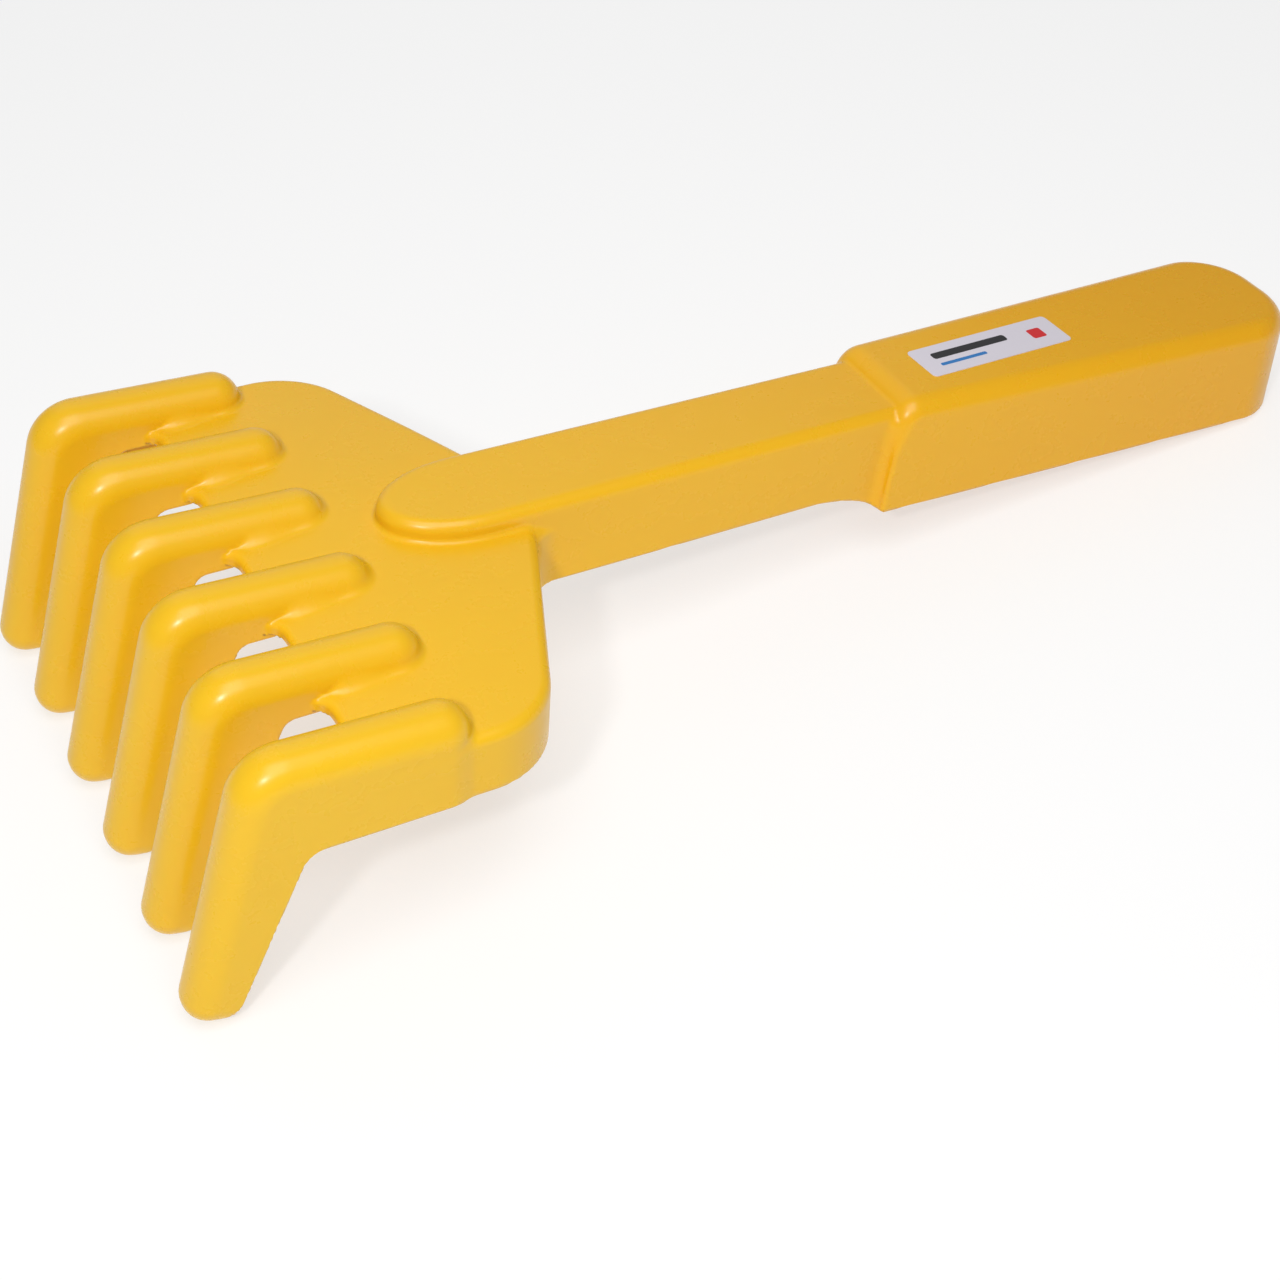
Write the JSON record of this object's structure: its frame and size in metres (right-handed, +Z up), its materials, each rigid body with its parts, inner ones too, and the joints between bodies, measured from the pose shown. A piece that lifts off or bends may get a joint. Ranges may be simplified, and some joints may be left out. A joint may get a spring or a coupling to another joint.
{
  "type": "sand rake",
  "caption": "Child's one-piece plastic sand rake: a flat head with curved round-ended tines, a raised neck and a wider hollow handle that carries a small label.",
  "frame": {"origin": "middle of the box round the rake, on the floor that the tine tips and the end of the handle rest on", "axes": "+X from the tines towards the end of the handle, +Y across the head, +Z up"},
  "size_m": [0.2576, 0.11, 0.0491],
  "materials": {
    "moulding": "satin yellow, coloured through",
    "label": "smooth pale film"
  },
  "bodies": {
    "root": {"head_plate": "moulding", "tine_1": "moulding", "tine_2": "moulding", "tine_3": "moulding", "tine_4": "moulding", "tine_5": "moulding", "tine_6": "moulding", "neck": "moulding", "handle": "moulding", "label": "label"}
  },
  "joints": []
}
